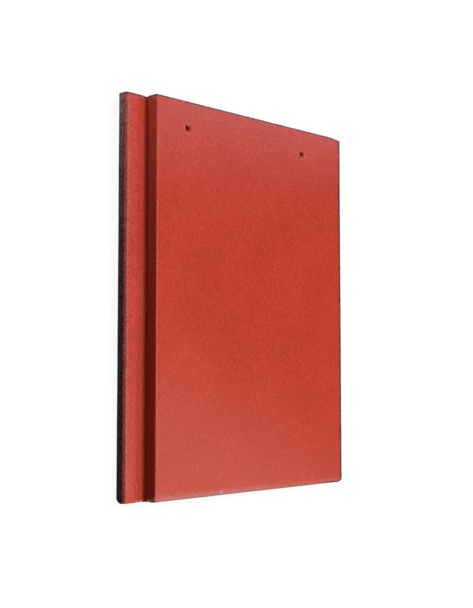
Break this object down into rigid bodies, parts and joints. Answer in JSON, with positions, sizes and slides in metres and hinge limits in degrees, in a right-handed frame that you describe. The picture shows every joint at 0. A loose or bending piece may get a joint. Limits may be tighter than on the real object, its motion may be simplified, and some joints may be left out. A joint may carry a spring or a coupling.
{
  "type": "flat interlocking roof tile",
  "caption": "Flat interlocking roof tile with a stepped side lap, nail holes near the head, and hanging nibs and pockets beneath; red coated face on a grey concrete body.",
  "frame": {"origin": "below the middle of the tile, level with the feet of the hanging nibs", "axes": "+X across the tile from the underlap to the overlap, +Y along it from tail to head, +Z out of the weather face; the tile lies face up"},
  "size_m": [0.33, 0.42, 0.04],
  "materials": {
    "red_coated_concrete": "satin red coat on the weather face, bare grey concrete on the edges and underside"
  },
  "bodies": {
    "root": {"roof_tile": "red_coated_concrete"}
  },
  "joints": []
}
